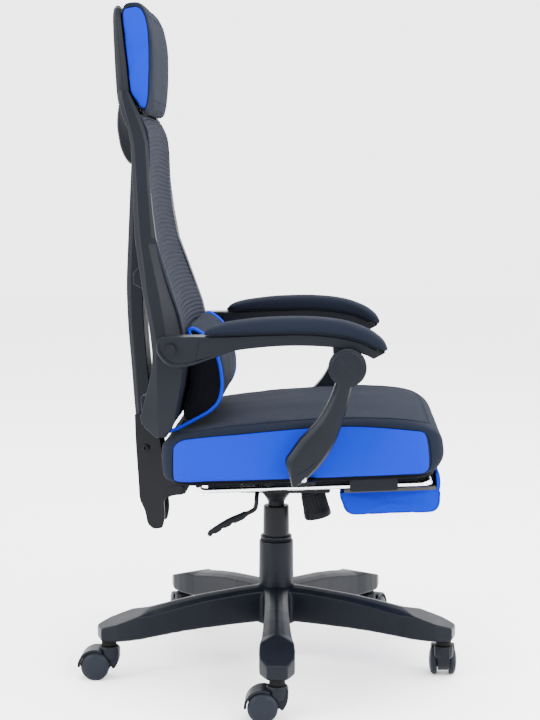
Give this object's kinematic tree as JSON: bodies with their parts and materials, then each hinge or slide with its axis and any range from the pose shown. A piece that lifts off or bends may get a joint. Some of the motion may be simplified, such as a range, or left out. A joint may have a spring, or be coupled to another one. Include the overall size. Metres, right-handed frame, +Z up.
{
  "type": "gaming chair",
  "caption": "Wheeled gaming chair: star base, gas column, padded seat with pull-out footrest, reclining mesh back with headrest and lumbar pillow, armrests linked to the recline.",
  "frame": {"origin": "on the column axis, at the level of the floor the casters roll on", "axes": "+Z up; the sitter faces -Y; +X towards the sitter's left hand"},
  "size_m": [0.6508, 0.6675, 1.172],
  "materials": {
    "black_plastic": "moulded, fine satin grain",
    "black_steel": "black powder coat",
    "bright_steel": "turned",
    "chrome_tube": "polished",
    "plywood": "black stained plywood",
    "seat_fabric": "woven, matt",
    "blue_fabric": "woven, matt",
    "back_mesh": "ribbed spacer mesh",
    "arm_padding": "woven cover over foam",
    "caster_tread": "satin nylon"
  },
  "bodies": {
    "base": {"star_base": "black_plastic", "caster_stems": "bright_steel", "gas_tube": "black_steel", "column_cover": "black_plastic"},
    "column_core": {"gas_rod": "bright_steel"},
    "mechanism": {"gas_cylinder": "black_steel", "mechanism_housing": "black_plastic", "tension_spring": "bright_steel", "tilt_shaft": "bright_steel"},
    "tension_knob": {"tension_knob": "black_plastic"},
    "lever_carrier": {"lever_bush": "black_plastic"},
    "lift_lever": {"lever_rod": "black_steel", "lever_grip": "black_plastic"},
    "seat": {"seat_plate": "black_steel", "seat_board": "plywood", "seat_cushion": "seat_fabric", "slide_blocks": "black_plastic", "recline_bracket": "black_steel", "recline_shaft": "bright_steel", "arm_foot_brackets": "black_steel", "foot_bolts": "bright_steel"},
    "footrest_slide": {"footrest_frame": "chrome_tube"},
    "footrest_pad": {"footrest_board": "plywood", "footrest_clips": "black_steel", "footrest_cushion": "blue_fabric"},
    "backrest": {"frame_rail_right": "black_plastic", "frame_rail_left": "black_plastic", "neck_shell": "black_plastic", "back_spine": "black_plastic", "mid_bridge": "black_plastic", "bottom_bridge": "black_plastic", "headrest_shell": "black_plastic", "headrest_cushion": "seat_fabric", "mesh_panel": "back_mesh", "lumbar_pillow": "blue_fabric", "j_bracket": "black_steel", "arm_bolts": "bright_steel"},
    "armrest_right": {"armrest_shell_right": "black_plastic", "armrest_pad_right": "arm_padding"},
    "armrest_left": {"armrest_shell_left": "black_plastic", "armrest_pad_left": "arm_padding"},
    "post_right": {"arm_post_right": "black_plastic", "arm_front_pin_right": "bright_steel"},
    "post_left": {"arm_post_left": "black_plastic", "arm_front_pin_left": "bright_steel"},
    "caster_1": {"caster_1_body": "black_plastic"},
    "caster_1_wheel_left": {"caster_1_wheel_left": "caster_tread"},
    "caster_1_wheel_right": {"caster_1_wheel_right": "caster_tread"},
    "caster_2": {"caster_2_body": "black_plastic"},
    "caster_2_wheel_left": {"caster_2_wheel_left": "caster_tread"},
    "caster_2_wheel_right": {"caster_2_wheel_right": "caster_tread"},
    "caster_3": {"caster_3_body": "black_plastic"},
    "caster_3_wheel_left": {"caster_3_wheel_left": "caster_tread"},
    "caster_3_wheel_right": {"caster_3_wheel_right": "caster_tread"},
    "caster_4": {"caster_4_body": "black_plastic"},
    "caster_4_wheel_left": {"caster_4_wheel_left": "caster_tread"},
    "caster_4_wheel_right": {"caster_4_wheel_right": "caster_tread"},
    "caster_5": {"caster_5_body": "black_plastic"},
    "caster_5_wheel_left": {"caster_5_wheel_left": "caster_tread"},
    "caster_5_wheel_right": {"caster_5_wheel_right": "caster_tread"}
  },
  "joints": [
    {"name": "seat_swivel", "type": "hinge", "parent": "base", "child": "column_core", "pos_m": [0, 0, 0], "axis": [0, 0, 1], "continuous": true},
    {"name": "seat_lift", "type": "slide", "parent": "column_core", "child": "mechanism", "axis": [0, 0, 1], "range_m": [0, 0.09]},
    {"name": "tension_turn", "type": "hinge", "parent": "mechanism", "child": "tension_knob", "pos_m": [0, -0.0645, 0.32], "axis": [0, -0.2251, -0.9743], "range_deg": [0, 1080]},
    {"name": "lever_lift", "type": "hinge", "parent": "mechanism", "child": "lever_carrier", "pos_m": [-0.058, 0.028, 0.337], "axis": [0, 1, 0], "range_deg": [0, 8], "stiffness_Nm_per_rad": 1, "springref_deg": -11.46},
    {"name": "lever_pull", "type": "slide", "parent": "lever_carrier", "child": "lift_lever", "axis": [-1, 0, 0], "range_m": [0, 0.012]},
    {"name": "seat_rock", "type": "hinge", "parent": "mechanism", "child": "seat", "pos_m": [0, -0.025, 0.343], "axis": [-1, 0, 0], "range_deg": [0, 10], "stiffness_Nm_per_rad": 120, "springref_deg": -28.65},
    {"name": "footrest_pull", "type": "slide", "parent": "seat", "child": "footrest_slide", "axis": [0, -0.999, 0.0436], "range_m": [0, 0.25]},
    {"name": "footrest_flip", "type": "hinge", "parent": "footrest_slide", "child": "footrest_pad", "pos_m": [0, -0.26927, 0.36272], "axis": [-1, 0, 0], "range_deg": [0, 180.5]},
    {"name": "back_recline", "type": "hinge", "parent": "seat", "child": "backrest", "pos_m": [0, 0.17, 0.33], "axis": [-1, 0, 0], "range_deg": [0, 40]},
    {"name": "armrest_right_turn", "type": "hinge", "parent": "backrest", "child": "armrest_right", "pos_m": [-0.245, 0.16, 0.601], "axis": [-1, 0, 0], "range_deg": [-32, 0]},
    {"name": "post_right_turn", "type": "hinge", "parent": "seat", "child": "post_right", "pos_m": [-0.27, -0.056, 0.392], "axis": [-1, 0, 0], "range_deg": [0, 54.5]},
    {"name": "armrest_left_turn", "type": "hinge", "parent": "backrest", "child": "armrest_left", "pos_m": [0.245, 0.16, 0.601], "axis": [-1, 0, 0], "range_deg": [-32, 0]},
    {"name": "post_left_turn", "type": "hinge", "parent": "seat", "child": "post_left", "pos_m": [0.27, -0.056, 0.392], "axis": [-1, 0, 0], "range_deg": [0, 54.5]},
    {"name": "caster_1_swivel", "type": "hinge", "parent": "base", "child": "caster_1", "pos_m": [-0.31016, -0.01463, 0.05], "axis": [0, 0, 1], "continuous": true},
    {"name": "caster_1_spin_left", "type": "hinge", "parent": "caster_1", "child": "caster_1_wheel_left", "pos_m": [-0.31016, 0.00837, 0.025], "axis": [1, 0, 0], "continuous": true},
    {"name": "caster_1_spin_right", "type": "hinge", "parent": "caster_1", "child": "caster_1_wheel_right", "pos_m": [-0.31016, 0.00837, 0.025], "axis": [1, 0, 0], "continuous": true},
    {"name": "caster_2_swivel", "type": "hinge", "parent": "base", "child": "caster_2", "pos_m": [-0.08193, -0.2995, 0.05], "axis": [0, 0, 1], "continuous": true},
    {"name": "caster_2_spin_left", "type": "hinge", "parent": "caster_2", "child": "caster_2_wheel_left", "pos_m": [-0.05893, -0.2995, 0.025], "axis": [0, -1, 0], "continuous": true},
    {"name": "caster_2_spin_right", "type": "hinge", "parent": "caster_2", "child": "caster_2_wheel_right", "pos_m": [-0.05893, -0.2995, 0.025], "axis": [0, -1, 0], "continuous": true},
    {"name": "caster_3_swivel", "type": "hinge", "parent": "base", "child": "caster_3", "pos_m": [0.25952, -0.17047, 0.05], "axis": [0, 0, 1], "continuous": true},
    {"name": "caster_3_spin_left", "type": "hinge", "parent": "caster_3", "child": "caster_3_wheel_left", "pos_m": [0.28036, -0.18019, 0.025], "axis": [-0.4226, -0.9063, 0], "continuous": true},
    {"name": "caster_3_spin_right", "type": "hinge", "parent": "caster_3", "child": "caster_3_wheel_right", "pos_m": [0.28036, -0.18019, 0.025], "axis": [-0.4226, -0.9063, 0], "continuous": true},
    {"name": "caster_4_swivel", "type": "hinge", "parent": "base", "child": "caster_4", "pos_m": [0.24232, 0.19414, 0.05], "axis": [0, 0, 1], "continuous": true},
    {"name": "caster_4_spin_left", "type": "hinge", "parent": "caster_4", "child": "caster_4_wheel_left", "pos_m": [0.26464, 0.1997, 0.025], "axis": [0.2419, -0.9703, 0], "continuous": true},
    {"name": "caster_4_spin_right", "type": "hinge", "parent": "caster_4", "child": "caster_4_wheel_right", "pos_m": [0.26464, 0.1997, 0.025], "axis": [0.2419, -0.9703, 0], "continuous": true},
    {"name": "caster_5_swivel", "type": "hinge", "parent": "base", "child": "caster_5", "pos_m": [-0.10975, 0.29046, 0.05], "axis": [0, 0, 1], "continuous": true},
    {"name": "caster_5_spin_left", "type": "hinge", "parent": "caster_5", "child": "caster_5_wheel_left", "pos_m": [-0.10975, 0.31345, 0.025], "axis": [1, 0, 0], "continuous": true},
    {"name": "caster_5_spin_right", "type": "hinge", "parent": "caster_5", "child": "caster_5_wheel_right", "pos_m": [-0.10975, 0.31345, 0.025], "axis": [1, 0, 0], "continuous": true}
  ],
  "couplings": [
    {"joint": "footrest_flip", "follows": "footrest_pull", "rad_per_m": 12.566},
    {"joint": "armrest_right_turn", "follows": "back_recline", "ratio": -0.7824},
    {"joint": "post_right_turn", "follows": "back_recline", "ratio": 1.3479},
    {"joint": "armrest_left_turn", "follows": "back_recline", "ratio": -0.7824},
    {"joint": "post_left_turn", "follows": "back_recline", "ratio": 1.3479}
  ]
}
